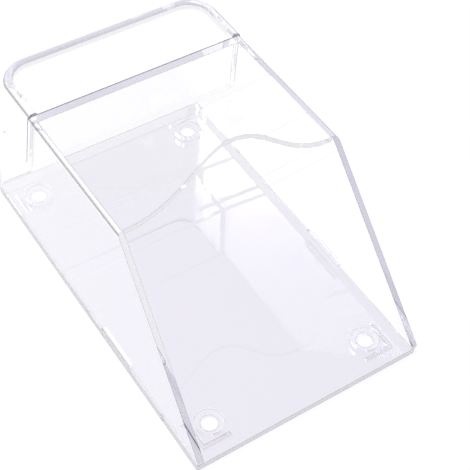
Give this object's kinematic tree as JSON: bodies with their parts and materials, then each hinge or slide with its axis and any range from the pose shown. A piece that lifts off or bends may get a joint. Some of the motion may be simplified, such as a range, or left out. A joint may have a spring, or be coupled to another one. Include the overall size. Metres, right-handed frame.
{
  "type": "doorbell rain cover",
  "caption": "Clear weather hood on a flat wall plate for a doorbell push, with an open lower end, a finger cut-out in its front panel and a pocket in its closed top.",
  "frame": {"origin": "middle of the back face, which lies against the wall", "axes": "+X across, +Y from the open end to the closed end, which is the top on a wall, +Z out from the wall"},
  "size_m": [0.08, 0.1274, 0.0553],
  "materials": {
    "plate_plastic": "clear, polished",
    "hood_plastic": "clear, polished"
  },
  "bodies": {
    "plate": {"back_plate": "plate_plastic"},
    "hood": {"hood": "hood_plastic"}
  },
  "joints": [
    {"name": "hood_lift_off", "type": "slide", "parent": "plate", "child": "hood", "axis": [0, 0, 1], "range_m": [0, 0.03]}
  ]
}
